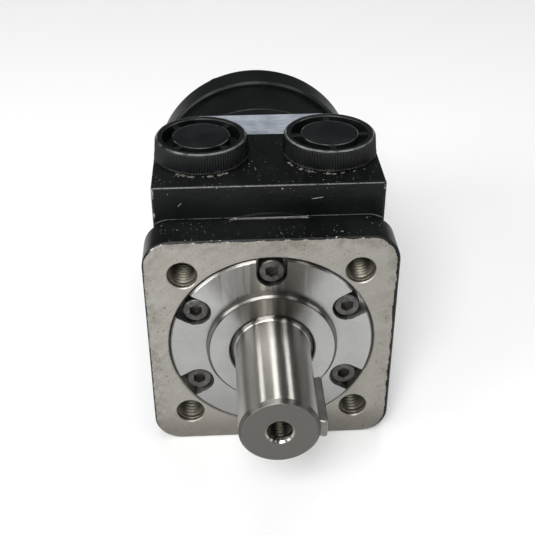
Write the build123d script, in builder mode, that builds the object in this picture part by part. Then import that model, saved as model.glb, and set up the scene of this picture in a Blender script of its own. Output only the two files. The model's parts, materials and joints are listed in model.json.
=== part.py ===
"""Orbital (gerotor) hydraulic motor with a spool valve on its output shaft and a square
four-bolt flange.

Row frame: origin on the shaft axis in the flange's mounting face, +Y towards the rear
(end cap), -Y towards the shaft end, +Z towards the two work ports. Millimetres.
A station is a distance along +Y from the mounting face.
"""
from build123d import *
from math import atan2, cos, hypot, pi, radians, sin, sqrt
import os

# ---- driving dimensions ----------------------------------------------------------------

# square flange and casting
flange_width = 84.0
flange_corner = 9.5
flange_thickness = 14.0
flange_bolt_circle = 82.55
flange_thread_radius = 4.76
flange_thread_depth = 16.0
barrel_radius = 43.5
housing_length = 92.0

# port block on top of the casting
block_width = 77.0
block_front = 14.6
block_rear = 70.6
block_top = 53.7
block_front_corner = 0.9
block_rear_corner = 15.0
port_spacing = 44.0
port_station = 38.5
port_radius = 11.11
port_depth = 17.0
port_seat_radius = 13.0

# front cover (seal carrier), its pilot and its screws
recess_radius = 34.95
recess_depth = 9.0
cover_radius = 34.7
cover_proud = 0.4
pilot_radius = 22.2
pilot_height = 2.8
cover_bore_radius = 14.45
screw_circle_radius = 29.3
screw_count = 6
screw_notch_radius = 5.1
screw_notch_floor = 5.8
screw_radius = 2.45
screw_head_radius = 4.25
screw_head_height = 5.0
screw_length = 16.0
screw_hex = 4.0

# output shaft with its spool
shaft_radius = 12.7
shaft_end = -43.4
shaft_chamfer = 1.2
journal_radius = 14.2
journal_start = -2.2
spool_radius = 19.0
spool_clearance = 0.03
spool_end = 91.5
groove_floor_radius = 16.8
front_groove = (27.0, 34.0)
rear_groove = (43.5, 50.5)
gallery_radius = 22.0
end_thread_radius = 4.0
end_thread_depth = 19.0

# half-round key in the shaft
key_width = 6.35
key_disc_radius = 11.1
key_height = 9.0
key_outer_reach = 14.7
key_station = -32.1

# thrust bearing between the cover and the spool shoulder
bearing_seat_radius = 23.0
bearing_inner_radius = 14.7
bearing_outer_radius = 22.7
race_thickness = 1.0
roller_count = 20
roller_radius = 0.97
roller_length = 5.0

# gerotor set: seven lobes in the ring, six on the star
lobe_count = 7
lobe_circle = 29.0
lobe_radius = 6.5
eccentricity = 2.8
rotor_clearance = 0.08
rotor_side_clearance = 0.05
ring_root_radius = 28.3
spacer_thickness = 9.0
rotor_width = 24.0
stack_radius = 42.8

# splines that the drive link runs in, straight-sided
spline_teeth = 12
spline_tooth_width = 2.45
female_root_radius = 11.7
female_tip_radius = 9.9
male_tip_radius = 11.2
male_root_radius = 9.3
spline_head_length = 14.0
link_front_station = 40.0
link_shank_radius = 8.0
link_passage_radius = 12.3

# end cap and the seven long bolts
cap_thickness = 15.0
cap_radius = 44.9
bolt_circle_radius = 36.6
bolt_radius = 3.95
bolt_hole_radius = 4.3
bolt_tapped_depth = 22.0
bolt_engagement = 18.0
bolt_head_width = 13.0
bolt_head_height = 5.3
bolt_washer = 1.0

# oil passages and section seals
passage_circle_radius = 25.0
passage_radius = 2.5
seal_groove_inner = 29.5
seal_groove_outer = 31.6
seal_groove_depth = 1.4

# transport caps screwed into the ports
cap_lift_gap = 0.15
cap_skirt_base = 16.4
cap_skirt_top = 15.8
cap_height = 7.2
cap_rib_count = 108
cap_rib_depth = 0.35
cap_recess_outer = 13.1
cap_recess_inner = 9.8
cap_recess_depth = 4.4
cap_plug_radius = 9.9
cap_plug_length = 12.0

# plugged case-drain port in the underside
drain_station = 60.0
drain_radius = 5.0
drain_spot_radius = 8.5
drain_spot_depth = 3.4

# ---- worked-out stations ---------------------------------------------------------------

spacer_front = housing_length
ring_front = spacer_front + spacer_thickness
cap_front = ring_front + rotor_width
cap_rear = cap_front + cap_thickness
rotor_middle = ring_front + rotor_width / 2
race_front = recess_depth + 0.05
roller_station = race_front + race_thickness + 1.0
race_rear = roller_station + 1.0
spool_start = race_rear + race_thickness + 0.05
lobe_pitch = 360 / lobe_count
lobe_start = 270.0
pocket_start = 90.0
key_centre = key_outer_reach - key_height + key_disc_radius
link_tilt = atan2(eccentricity, rotor_middle - link_front_station)


def across(station):
    """Plane square to the shaft axis; its sketches read X to the right and Z up."""
    return Plane.XZ.offset(-station)


def turned(points, mode=Mode.ADD):
    """Body of revolution about the shaft axis from (radius, station) points."""
    with BuildSketch(Plane.XY) as profile:
        with BuildLine():
            Polyline(*points, close=True)
        make_face()
    revolve(profile.sketch, axis=Axis.Y, mode=mode)


def turned_about_port(side, points, mode=Mode.ADD):
    """Body of revolution about one port's upright axis from (radius, height) points."""
    plane = Plane(origin=(side * port_spacing / 2, port_station, 0), x_dir=(1, 0, 0), z_dir=(0, -1, 0))
    with BuildSketch(plane) as profile:
        with BuildLine():
            Polyline(*points, close=True)
        make_face()
    revolve(profile.sketch, axis=Axis(plane.origin, (0, 0, 1)), mode=mode)


def polar_cut(station, length, radius, circle_radius, count, start_angle):
    """Round holes on a circle, from a station backwards by length."""
    with BuildSketch(across(station)) as holes:
        with PolarLocations(circle_radius, count, start_angle=start_angle):
            Circle(radius)
    extrude(holes.sketch, amount=-length, mode=Mode.SUBTRACT)


def seal_groove(station, direction):
    """Ring groove for a section seal; direction 1 cuts backwards, -1 forwards."""
    with BuildSketch(across(station)) as ring:
        Circle(seal_groove_outer)
        Circle(seal_groove_inner, mode=Mode.SUBTRACT)
    extrude(ring.sketch, amount=-direction * seal_groove_depth, mode=Mode.SUBTRACT)


def section_seal(station):
    """Square-section rubber ring lying in a seal groove that starts at a station."""
    slack = 0.05
    turned([
        (seal_groove_inner + slack, station),
        (seal_groove_outer - slack, station),
        (seal_groove_outer - slack, station + seal_groove_depth),
        (seal_groove_inner + slack, station + seal_groove_depth),
    ])


def cut_spline(plane, length):
    """Twelve parallel-sided gaps of an internal spline, cut backwards from a plane."""
    gap_middle = (female_root_radius + female_tip_radius) / 2
    gap_width = 2 * pi * gap_middle / spline_teeth - spline_tooth_width
    inner = female_tip_radius - 0.5
    with BuildSketch(plane) as gaps:
        with PolarLocations((inner + female_root_radius) / 2, spline_teeth, start_angle=180 / spline_teeth):
            Rectangle(female_root_radius - inner, gap_width)
    extrude(gaps.sketch, amount=-length, mode=Mode.SUBTRACT)


def star_outline():
    """Points of the six-lobed star: the path of a ring lobe's centre, moved inwards."""
    inset = lobe_radius + rotor_clearance
    samples = 168
    outline = []
    for step in range(samples):
        t = 2 * pi * step / samples
        x = lobe_circle * cos(t) + eccentricity * cos(lobe_count * t)
        z = lobe_circle * sin(t) + eccentricity * sin(lobe_count * t)
        along_x = -lobe_circle * sin(t) - lobe_count * eccentricity * sin(lobe_count * t)
        along_z = lobe_circle * cos(t) + lobe_count * eccentricity * cos(lobe_count * t)
        speed = hypot(along_x, along_z)
        outline.append((x - inset * along_z / speed, z + inset * along_x / speed))
    return outline


# ---- housing: square flange, barrel, port block, spool bore and oil ways ---------------

with BuildPart() as housing:
    with BuildSketch(across(0)):
        RectangleRounded(flange_width, flange_width, flange_corner)
    extrude(amount=-flange_thickness)
    chamfer(housing.faces().sort_by(Axis.Y)[0].edges(), 0.5)
    fillet(housing.faces().sort_by(Axis.Y)[-1].edges(), 1.2)

    flat_cut = 10.0
    with BuildSketch(across(flange_thickness)):
        Circle(barrel_radius)
        with Locations((0, -flange_width / 2 - flat_cut / 2)):
            Rectangle(2 * barrel_radius, flat_cut, mode=Mode.SUBTRACT)
    extrude(amount=-(housing_length - flange_thickness))
    chamfer(housing.faces().sort_by(Axis.Y)[-1].edges(), 0.6)

    block_length = block_rear - block_front
    with BuildSketch(Plane.XY) as block:
        with Locations((0, block_front + block_length / 2)):
            Rectangle(block_width, block_length)
        fillet(block.vertices().group_by(Axis.Y)[0], block_front_corner)
        fillet(block.vertices().group_by(Axis.Y)[-1], block_rear_corner)
    extrude(amount=block_top)
    fillet(housing.faces().sort_by(Axis.Z)[-1].edges(), 0.7)

    bore_radius = spool_radius + spool_clearance
    turned([
        (0, -1),
        (recess_radius + 1.5, -1),
        (recess_radius, 0.5),
        (recess_radius, recess_depth),
        (bearing_seat_radius, recess_depth),
        (bearing_seat_radius, spool_start + 1.4),
        (bore_radius, spool_start + 1.4),
        (bore_radius, front_groove[0]),
        (gallery_radius, front_groove[0]),
        (gallery_radius, front_groove[1]),
        (bore_radius, front_groove[1]),
        (bore_radius, rear_groove[0]),
        (gallery_radius, rear_groove[0]),
        (gallery_radius, rear_groove[1]),
        (bore_radius, rear_groove[1]),
        (bore_radius, housing_length + 1),
        (0, housing_length + 1),
    ], mode=Mode.SUBTRACT)

    hole_pitch = flange_bolt_circle / sqrt(2)
    with Locations(across(0)):
        with GridLocations(hole_pitch, hole_pitch, 2, 2):
            CounterSinkHole(flange_thread_radius, flange_thread_radius + 0.45, flange_thread_depth, 90)
        with PolarLocations(screw_circle_radius, screw_count, start_angle=90):
            Hole(screw_radius + 0.05, recess_depth + screw_length)

    polar_cut(housing_length - bolt_tapped_depth, bolt_tapped_depth, bolt_radius + 0.05,
              bolt_circle_radius, lobe_count, lobe_start)
    window_station = (front_groove[1] + rear_groove[0]) / 2
    polar_cut(window_station, housing_length - window_station, passage_radius,
              passage_circle_radius, lobe_count, pocket_start)
    for number in range(lobe_count):
        angle = radians(pocket_start + number * lobe_pitch)
        outward = Vector(cos(angle), 0, sin(angle))
        window_foot = Vector(0, window_station, 0) + outward * (spool_radius - 2)
        with BuildSketch(Plane(origin=window_foot, z_dir=outward)) as window:
            Circle(passage_radius * 0.8)
        extrude(window.sketch, amount=passage_circle_radius - spool_radius + 2, mode=Mode.SUBTRACT)
    seal_groove(housing_length, -1)

    with Locations(Plane.XY.offset(block_top)):
        with Locations((-port_spacing / 2, port_station), (port_spacing / 2, port_station)):
            CounterSinkHole(port_radius, port_seat_radius, port_depth, 90)
    with Locations(Plane.XY.offset(block_top - port_depth)):
        oil_way_drop = block_top - port_depth - 12
        with Locations((-17, front_groove[1] - 2.5), (14.8, rear_groove[0] + 2.5)):
            Hole(3.0, oil_way_drop)

    drain_plane = Plane(origin=(0, drain_station, -flange_width / 2), x_dir=(1, 0, 0), z_dir=(0, 0, -1))
    with Locations(drain_plane):
        CounterBoreHole(drain_radius, drain_spot_radius, drain_spot_depth, 14)
        Hole(2.0, flange_width / 2 - spool_radius + 2)

# ---- front cover: pilot ring, six open screw notches, seal pockets ---------------------

pilot_face = -cover_proud - pilot_height
dust_pocket = (-1.6, 1.8)
shaft_pocket = 4.0
shaft_pocket_radius = 19.5
dust_pocket_radius = 17.6
o_ring_groove = (23.6, 25.7)
o_ring_depth = 1.6

with BuildPart() as front_cover:
    turned([
        (cover_bore_radius + 0.4, pilot_face),
        (pilot_radius - 0.8, pilot_face),
        (pilot_radius, pilot_face + 0.8),
        (pilot_radius, -cover_proud),
        (cover_radius - 0.7, -cover_proud),
        (cover_radius, 0.7 - cover_proud),
        (cover_radius, recess_depth),
        (o_ring_groove[1], recess_depth),
        (o_ring_groove[1], recess_depth - o_ring_depth),
        (o_ring_groove[0], recess_depth - o_ring_depth),
        (o_ring_groove[0], recess_depth),
        (shaft_pocket_radius, recess_depth),
        (shaft_pocket_radius, shaft_pocket),
        (journal_radius + 0.8, shaft_pocket),
        (journal_radius + 0.8, dust_pocket[1]),
        (dust_pocket_radius, dust_pocket[1]),
        (dust_pocket_radius, dust_pocket[0]),
        (cover_bore_radius, dust_pocket[0]),
        (cover_bore_radius, pilot_face + 0.4),
    ])
    notch_reach = cover_radius - screw_circle_radius + 3
    with BuildSketch(across(-cover_proud - 1)):
        with PolarLocations(screw_circle_radius, screw_count, start_angle=90):
            Circle(screw_notch_radius)
            with Locations((notch_reach / 2, 0)):
                Rectangle(notch_reach, 2 * screw_notch_radius)
    extrude(amount=-(screw_notch_floor + cover_proud + 1), mode=Mode.SUBTRACT)
    polar_cut(screw_notch_floor, recess_depth, screw_radius + 0.3,
              screw_circle_radius, screw_count, 90)

with BuildPart() as cover_screws:
    head_face = screw_notch_floor - screw_head_height
    with BuildSketch(across(head_face)):
        with PolarLocations(screw_circle_radius, screw_count, start_angle=90):
            Circle(screw_head_radius)
    extrude(amount=-screw_head_height)
    chamfer(cover_screws.edges().group_by(Axis.Y)[0], 0.35)
    with BuildSketch(across(screw_notch_floor)):
        with PolarLocations(screw_circle_radius, screw_count, start_angle=90):
            Circle(screw_radius)
    extrude(amount=-screw_length)
    with BuildSketch(across(head_face)):
        with PolarLocations(screw_circle_radius, screw_count, start_angle=90):
            RegularPolygon(screw_hex / 2, 6, major_radius=False)
    extrude(amount=-2.6, mode=Mode.SUBTRACT)

with BuildPart() as cover_o_ring:
    turned([
        (o_ring_groove[0] + 0.05, recess_depth - o_ring_depth + 0.4),
        (o_ring_groove[0] + 0.45, recess_depth - o_ring_depth),
        (o_ring_groove[1] - 0.45, recess_depth - o_ring_depth),
        (o_ring_groove[1] - 0.05, recess_depth - o_ring_depth + 0.4),
        (o_ring_groove[1] - 0.05, recess_depth - 0.4),
        (o_ring_groove[1] - 0.45, recess_depth),
        (o_ring_groove[0] + 0.45, recess_depth),
        (o_ring_groove[0] + 0.05, recess_depth - 0.4),
    ])

# ---- seals round the shaft -------------------------------------------------------------

lip_radius = journal_radius + 0.08

with BuildPart() as dust_seal:
    turned([
        (lip_radius, dust_pocket[0] + 0.15),
        (lip_radius + 0.9, dust_pocket[0] + 0.6),
        (dust_pocket_radius - 0.05, dust_pocket[0] + 0.1),
        (dust_pocket_radius - 0.05, dust_pocket[1] - 0.1),
        (lip_radius + 0.9, dust_pocket[1] - 0.1),
        (lip_radius + 0.9, dust_pocket[0] + 1.5),
        (lip_radius, dust_pocket[0] + 0.7),
    ])

backup_thickness = 1.2

with BuildPart() as shaft_seal:
    seal_rear = recess_depth - backup_thickness - 0.1
    turned([
        (lip_radius + 0.5, shaft_pocket + 0.1),
        (shaft_pocket_radius - 0.05, shaft_pocket + 0.1),
        (shaft_pocket_radius - 0.05, seal_rear),
        (lip_radius + 2.6, seal_rear),
        (lip_radius + 2.0, shaft_pocket + 1.5),
        (lip_radius + 0.8, seal_rear - 0.3),
        (lip_radius, seal_rear - 0.7),
    ])

with BuildPart() as seal_backup_washer:
    turned([
        (journal_radius + 0.35, recess_depth - backup_thickness),
        (shaft_pocket_radius - 0.05, recess_depth - backup_thickness),
        (shaft_pocket_radius - 0.05, recess_depth),
        (journal_radius + 0.35, recess_depth),
    ])

# ---- thrust bearing --------------------------------------------------------------------


def bearing_race(station):
    """Flat washer that the rollers run on."""
    turned([
        (bearing_inner_radius, station),
        (bearing_outer_radius, station),
        (bearing_outer_radius, station + race_thickness),
        (bearing_inner_radius, station + race_thickness),
    ])


with BuildPart() as thrust_race_front:
    bearing_race(race_front)

with BuildPart() as thrust_race_rear:
    bearing_race(race_rear)

roller_inner = (bearing_inner_radius + bearing_outer_radius - roller_length) / 2
roller_pitch = 360 / roller_count

with BuildPart() as thrust_cage:
    cage_thickness = 1.4
    with BuildSketch(across(roller_station - cage_thickness / 2)):
        Circle(bearing_outer_radius - 0.3)
        Circle(bearing_inner_radius + 0.3, mode=Mode.SUBTRACT)
        with PolarLocations(roller_inner + roller_length / 2, roller_count):
            Rectangle(roller_length + 0.2, 2 * roller_radius + 0.2, mode=Mode.SUBTRACT)
    extrude(amount=-cage_thickness)

with BuildPart() as thrust_rollers:
    for number in range(roller_count):
        angle = radians(number * roller_pitch)
        outward = Vector(cos(angle), 0, sin(angle))
        foot = Vector(0, roller_station, 0) + outward * roller_inner
        with BuildSketch(Plane(origin=foot, z_dir=outward)):
            Circle(roller_radius)
        extrude(amount=roller_length)

# ---- output shaft with the valve spool and the front internal spline -------------------

with BuildPart() as output_shaft:
    spline_start = link_front_station - spline_head_length / 2 - 1
    spline_stop = link_front_station + spline_head_length / 2 + 1
    turned([
        (0, shaft_end),
        (shaft_radius - shaft_chamfer, shaft_end),
        (shaft_radius, shaft_end + shaft_chamfer),
        (shaft_radius, journal_start - 1.5),
        (journal_radius, journal_start),
        (journal_radius, spool_start),
        (spool_radius - 0.4, spool_start),
        (spool_radius, spool_start + 0.4),
        (spool_radius, front_groove[0]),
        (groove_floor_radius, front_groove[0]),
        (groove_floor_radius, front_groove[1]),
        (spool_radius, front_groove[1]),
        (spool_radius, rear_groove[0]),
        (groove_floor_radius, rear_groove[0]),
        (groove_floor_radius, rear_groove[1]),
        (spool_radius, rear_groove[1]),
        (spool_radius, spool_end - 0.4),
        (spool_radius - 0.4, spool_end),
        (link_passage_radius + 0.8, spool_end),
        (link_passage_radius, spool_end - 0.8),
        (link_passage_radius, spline_stop),
        (female_tip_radius, spline_stop),
        (female_tip_radius, spline_start - 0.5),
        (female_tip_radius - 2, spline_start - 2),
        (0, spline_start - 2),
    ])
    cut_spline(across(spline_start), spline_stop - spline_start + 1)

    slot_middle = (groove_floor_radius + spool_radius + 1) / 2
    slot_height = spool_radius + 1 - groove_floor_radius
    slot_length = 7.5
    with BuildSketch(across(front_groove[1] - 0.1)):
        with PolarLocations(slot_middle, 6, start_angle=90):
            Rectangle(slot_height, 4)
    extrude(amount=-slot_length, mode=Mode.SUBTRACT)
    with BuildSketch(across(rear_groove[0] + 0.1 - slot_length)):
        with PolarLocations(slot_middle, 6, start_angle=120):
            Rectangle(slot_height, 4)
    extrude(amount=-slot_length, mode=Mode.SUBTRACT)

    with Locations(across(shaft_end)):
        CounterSinkHole(end_thread_radius, end_thread_radius + 0.7, end_thread_depth, 90)
    with BuildSketch(Plane.XY.offset(-key_width / 2)):
        with Locations((key_centre, key_station)):
            Circle(key_disc_radius)
    extrude(amount=key_width, mode=Mode.SUBTRACT)

with BuildPart() as shaft_key:
    with BuildSketch(Plane.XY.offset(-key_width / 2)):
        with Locations((key_centre, key_station)):
            Circle(key_disc_radius)
        with Locations((key_outer_reach + key_disc_radius, key_station)):
            Rectangle(2 * key_disc_radius, 3 * key_disc_radius, mode=Mode.SUBTRACT)
    extrude(amount=key_width)
    fillet(shaft_key.edges().filter_by(Axis.Z).group_by(Axis.X)[-1], 1.0)
    chamfer(shaft_key.faces().filter_by(Axis.Z).edges(), 0.3)

# ---- drive link: tilted between the spool's spline and the star's spline ---------------

link_length = hypot(rotor_middle - link_front_station, eccentricity)
link_origin = Vector(0, link_front_station, 0)
link_direction = Vector(0, cos(link_tilt), sin(link_tilt))
link_square = Plane(origin=link_origin, x_dir=(1, 0, 0), z_dir=link_direction * -1)
link_side = Plane(origin=link_origin, x_dir=(1, 0, 0), z_dir=Vector(1, 0, 0).cross(link_direction))


def link_head(distance):
    """Twelve-toothed head of the link, centred a distance behind the front one."""
    with BuildSketch(link_square.offset(spline_head_length / 2 - distance)) as teeth:
        Circle(male_root_radius)
        middle = (male_tip_radius + male_root_radius - 1) / 2
        with PolarLocations(middle, spline_teeth, start_angle=180 / spline_teeth):
            Rectangle(male_tip_radius - male_root_radius + 1, spline_tooth_width)
    extrude(teeth.sketch, amount=-spline_head_length)


with BuildPart() as drive_link:
    link_head(0)
    link_head(link_length)
    with BuildSketch(link_square):
        Circle(link_shank_radius)
    extrude(amount=-link_length)
    with BuildSketch(link_side):
        with BuildLine():
            half = spline_head_length / 2
            crown = male_tip_radius - 0.5
            Polyline((crown, half), (link_shank_radius + 0.5, half + 2),
                     (link_shank_radius + 0.5, link_length - half - 2), (crown, link_length - half))
            ThreePointArc((crown, link_length - half), (male_tip_radius, link_length),
                          (crown, link_length + half))
            Polyline((crown, link_length + half), (0, link_length + half), (0, -half), (crown, -half))
            ThreePointArc((crown, -half), (male_tip_radius, 0), (crown, half))
        make_face()
    revolve(axis=Axis(link_origin, link_direction), mode=Mode.INTERSECT)

# ---- spacer plate, gerotor ring, star and drive spacer ---------------------------------

with BuildPart() as spacer_plate:
    with BuildSketch(across(spacer_front)):
        Circle(stack_radius)
        Circle(link_passage_radius, mode=Mode.SUBTRACT)
        with PolarLocations(passage_circle_radius, lobe_count, start_angle=pocket_start):
            Circle(passage_radius, mode=Mode.SUBTRACT)
        with PolarLocations(bolt_circle_radius, lobe_count, start_angle=lobe_start):
            Circle(bolt_hole_radius, mode=Mode.SUBTRACT)
    extrude(amount=-spacer_thickness)
    chamfer(spacer_plate.edges().filter_by(GeomType.CIRCLE).sort_by(SortBy.RADIUS)[-2:], 0.5)
    seal_groove(ring_front, -1)

with BuildPart() as gerotor_ring:
    with BuildSketch(across(ring_front)):
        Circle(stack_radius)
        Circle(ring_root_radius, mode=Mode.SUBTRACT)
        with PolarLocations(lobe_circle, lobe_count, start_angle=lobe_start):
            Circle(lobe_radius)
        with PolarLocations(bolt_circle_radius, lobe_count, start_angle=lobe_start):
            Circle(bolt_hole_radius, mode=Mode.SUBTRACT)
    extrude(amount=-rotor_width)
    chamfer(gerotor_ring.edges().filter_by(GeomType.CIRCLE).sort_by(SortBy.RADIUS)[-2:], 0.5)

disc_front = rotor_middle + spline_head_length / 2 + 0.8
star_front = ring_front + rotor_side_clearance
star_rear = cap_front - rotor_side_clearance
disc_radius = 12.0
star_pocket_radius = disc_radius + 0.08

with BuildPart() as gerotor_star:
    star_plane = Plane(origin=(0, star_front, eccentricity), x_dir=(0, 0, -1), z_dir=(0, -1, 0))
    with BuildSketch(star_plane):
        with BuildLine():
            Spline(*star_outline(), periodic=True)
        make_face()
        Circle(female_tip_radius, mode=Mode.SUBTRACT)
    extrude(amount=-(star_rear - star_front))
    cut_spline(star_plane, star_rear - star_front)
    with BuildSketch(star_plane.offset(star_front - disc_front + 0.4)):
        Circle(star_pocket_radius)
    extrude(amount=-(star_rear - disc_front + 1), mode=Mode.SUBTRACT)

with BuildPart() as drive_spacer:
    with BuildSketch(across(disc_front)):
        with Locations((0, eccentricity)):
            Circle(disc_radius)
    extrude(amount=-(star_rear - disc_front))
    chamfer(drive_spacer.edges().filter_by(GeomType.CIRCLE), 0.5)

# ---- end cap with its bolts and seal washers -------------------------------------------

with BuildPart() as end_cap:
    with BuildSketch(across(cap_front)):
        Circle(cap_radius)
        with PolarLocations(bolt_circle_radius, lobe_count, start_angle=lobe_start):
            Circle(bolt_hole_radius, mode=Mode.SUBTRACT)
    extrude(amount=-cap_thickness)
    chamfer(end_cap.edges().filter_by(GeomType.CIRCLE).sort_by(SortBy.RADIUS)[-2:], 0.9)
    seal_groove(cap_front, 1)

with BuildPart() as bolt_washers:
    with BuildSketch(across(cap_rear)):
        with PolarLocations(bolt_circle_radius, lobe_count, start_angle=lobe_start):
            Circle(7.0)
            Circle(bolt_hole_radius - 0.1, mode=Mode.SUBTRACT)
    extrude(amount=-bolt_washer)

with BuildPart() as end_cap_bolts:
    head_seat = cap_rear + bolt_washer
    with BuildSketch(across(head_seat)):
        with PolarLocations(bolt_circle_radius, lobe_count, start_angle=lobe_start):
            RegularPolygon(bolt_head_width / 2, 6, major_radius=False)
    extrude(amount=-bolt_head_height)
    with BuildSketch(across(head_seat)):
        with PolarLocations(bolt_circle_radius, lobe_count, start_angle=lobe_start):
            Circle(bolt_head_width / 2 + 1.2)
    extrude(amount=-(bolt_head_height + 0.1), taper=18, mode=Mode.INTERSECT)
    with BuildSketch(across(head_seat)):
        with PolarLocations(bolt_circle_radius, lobe_count, start_angle=lobe_start):
            Circle(bolt_radius)
    extrude(amount=head_seat - housing_length + bolt_engagement)

# ---- section seals ---------------------------------------------------------------------

with BuildPart() as housing_seal:
    section_seal(housing_length - seal_groove_depth)

with BuildPart() as spacer_seal:
    section_seal(ring_front - seal_groove_depth)

with BuildPart() as end_cap_seal:
    section_seal(cap_front)

# ---- case-drain plug -------------------------------------------------------------------

drain_face = -flange_width / 2
drain_floor = drain_face + drain_spot_depth
drain_washer_thickness = 0.8
drain_plug_plane = Plane(origin=(0, drain_station, drain_face + 0.2), x_dir=(1, 0, 0), z_dir=(0, 0, -1))

with BuildPart() as drain_plug:
    plug_head_height = drain_spot_depth - drain_washer_thickness - 0.2
    with BuildSketch(drain_plug_plane):
        Circle(drain_spot_radius - 0.6)
    extrude(amount=-plug_head_height)
    chamfer(drain_plug.faces().sort_by(Axis.Z)[0].edges(), 0.4)
    with BuildSketch(drain_plug_plane.offset(-plug_head_height)):
        Circle(drain_radius - 0.05)
    extrude(amount=-9)
    with BuildSketch(drain_plug_plane):
        RegularPolygon(2.5, 6, major_radius=False)
    extrude(amount=-6, mode=Mode.SUBTRACT)

with BuildPart() as drain_plug_washer:
    with BuildSketch(Plane.XY.offset(drain_floor - drain_washer_thickness)):
        with Locations((0, drain_station)):
            Circle(drain_spot_radius - 0.8)
            Circle(drain_radius + 0.2, mode=Mode.SUBTRACT)
    extrude(amount=drain_washer_thickness)

# ---- transport caps in the work ports --------------------------------------------------

cap_base = block_top + cap_lift_gap
cap_rim = cap_base + cap_height


def ribbed_ring(outer):
    """Closed zigzag round a cap: one ridge and one furrow for each rib."""
    count = 2 * cap_rib_count
    ridge = [(outer - cap_rib_depth * (n % 2), 360 * n / count) for n in range(count)]
    return [(r * cos(radians(a)), r * sin(radians(a))) for r, a in ridge]


def cap_skirt(side):
    """Tapering skirt with fine upright ribs, from the block's top to the rim."""
    centre = (side * port_spacing / 2, port_station, 0)
    stations = ((cap_base + 0.6, cap_skirt_base - 0.1), (cap_rim - 0.8, cap_skirt_top))
    outlines = []
    for height, radius in stations:
        with BuildSketch(Plane(origin=centre).offset(height)) as rings:
            with BuildLine() as zigzag:
                Polyline(*ribbed_ring(radius), close=True)
            make_face(zigzag.line)
        outlines.append(rings.sketch)
    loft(outlines, ruled=True)


def transport_cap(side, spoke_angle):
    """Cap with a ribbed skirt, a spoked recess round its centre disc and a hollow plug."""
    cap_skirt(side)
    plug_end = cap_base - cap_plug_length
    ridge_pitch = 2.4
    turned_about_port(side, [
        (0, cap_base - 2),
        (0, cap_rim - 0.35),
        (cap_recess_inner, cap_rim - 0.35),
        (cap_recess_outer, cap_rim - 0.35),
        (cap_recess_outer + 0.5, cap_rim),
        (cap_skirt_top - 0.7, cap_rim),
        (cap_skirt_top - 0.2, cap_rim - 0.5),
        (cap_skirt_top - 0.2, cap_rim - 0.9),
        (cap_skirt_base - 0.6, cap_base + 0.7),
        (cap_skirt_base, cap_base + 0.6),
        (cap_skirt_base, cap_base),
        (cap_plug_radius, cap_base),
        (cap_plug_radius, plug_end + 0.6),
        (cap_plug_radius - 0.6, plug_end),
        (cap_plug_radius - 2, plug_end),
        (cap_plug_radius - 2, cap_base - 2),
    ])
    for number in range(4):
        ridge = cap_base - 4.2 - number * ridge_pitch
        turned_about_port(side, [
            (cap_plug_radius - 0.5, ridge - 1.0),
            (cap_plug_radius - 0.5, ridge + 0.2),
            (cap_plug_radius + 0.12, ridge - 0.3),
            (cap_plug_radius + 0.12, ridge - 0.5),
        ])
    turned_about_port(side, [
        (cap_recess_inner, cap_rim + 1),
        (cap_recess_outer + 0.15, cap_rim + 1),
        (cap_recess_outer, cap_rim - cap_recess_depth),
        (cap_recess_inner, cap_rim - cap_recess_depth),
    ], mode=Mode.SUBTRACT)
    spoke_plane = Plane(origin=(side * port_spacing / 2, port_station, cap_rim - cap_recess_depth))
    with BuildSketch(spoke_plane) as spokes:
        with PolarLocations((cap_recess_inner + cap_recess_outer) / 2, 4, start_angle=spoke_angle):
            Rectangle(cap_recess_outer - cap_recess_inner + 0.6, 2.2)
    extrude(spokes.sketch, amount=cap_recess_depth - 0.9)


with BuildPart() as port_cap_left:
    transport_cap(-1, 45)

with BuildPart() as port_cap_right:
    transport_cap(1, 0)


def cap_seal_ring(side):
    """Rubber ring round the plug's neck, in the port's sloping seat."""
    ring_radius = 0.75
    plane = Plane(origin=(side * port_spacing / 2, port_station, 0), x_dir=(1, 0, 0), z_dir=(0, -1, 0))
    with BuildSketch(plane) as section:
        with Locations((cap_plug_radius + ring_radius, cap_base - ring_radius)):
            Circle(ring_radius)
    revolve(section.sketch, axis=Axis(plane.origin, (0, 0, 1)))


with BuildPart() as cap_seal_left:
    cap_seal_ring(-1)

with BuildPart() as cap_seal_right:
    cap_seal_ring(1)

# ---- blank name plate behind and between the ports -------------------------------------

plate_thickness = 0.12
plate_front = 53.5
plate_rear = block_rear - 0.4
plate_width = 47.0

with BuildPart() as name_plate:
    with BuildSketch(Plane.XY.offset(block_top)):
        with Locations((0, (plate_front + plate_rear) / 2)):
            RectangleRounded(plate_width, plate_rear - plate_front, 1.0)
    extrude(amount=plate_thickness)

# ---- labels and export -----------------------------------------------------------------

pieces = {
    "housing": housing,
    "front_cover": front_cover,
    "cover_screws": cover_screws,
    "cover_o_ring": cover_o_ring,
    "dust_seal": dust_seal,
    "shaft_seal": shaft_seal,
    "seal_backup_washer": seal_backup_washer,
    "thrust_race_front": thrust_race_front,
    "thrust_race_rear": thrust_race_rear,
    "thrust_cage": thrust_cage,
    "thrust_rollers": thrust_rollers,
    "output_shaft": output_shaft,
    "shaft_key": shaft_key,
    "drive_link": drive_link,
    "spacer_plate": spacer_plate,
    "gerotor_ring": gerotor_ring,
    "gerotor_star": gerotor_star,
    "drive_spacer": drive_spacer,
    "end_cap": end_cap,
    "end_cap_bolts": end_cap_bolts,
    "bolt_washers": bolt_washers,
    "housing_seal": housing_seal,
    "spacer_seal": spacer_seal,
    "end_cap_seal": end_cap_seal,
    "drain_plug": drain_plug,
    "drain_plug_washer": drain_plug_washer,
    "port_cap_left": port_cap_left,
    "port_cap_right": port_cap_right,
    "cap_seal_left": cap_seal_left,
    "cap_seal_right": cap_seal_right,
    "name_plate": name_plate,
}

os.makedirs("parts", exist_ok=True)
for name, piece in pieces.items():
    piece.part.label = name
    export_step(piece.part, f"parts/{name}.step")
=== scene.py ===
import json
import math
import random

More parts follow.
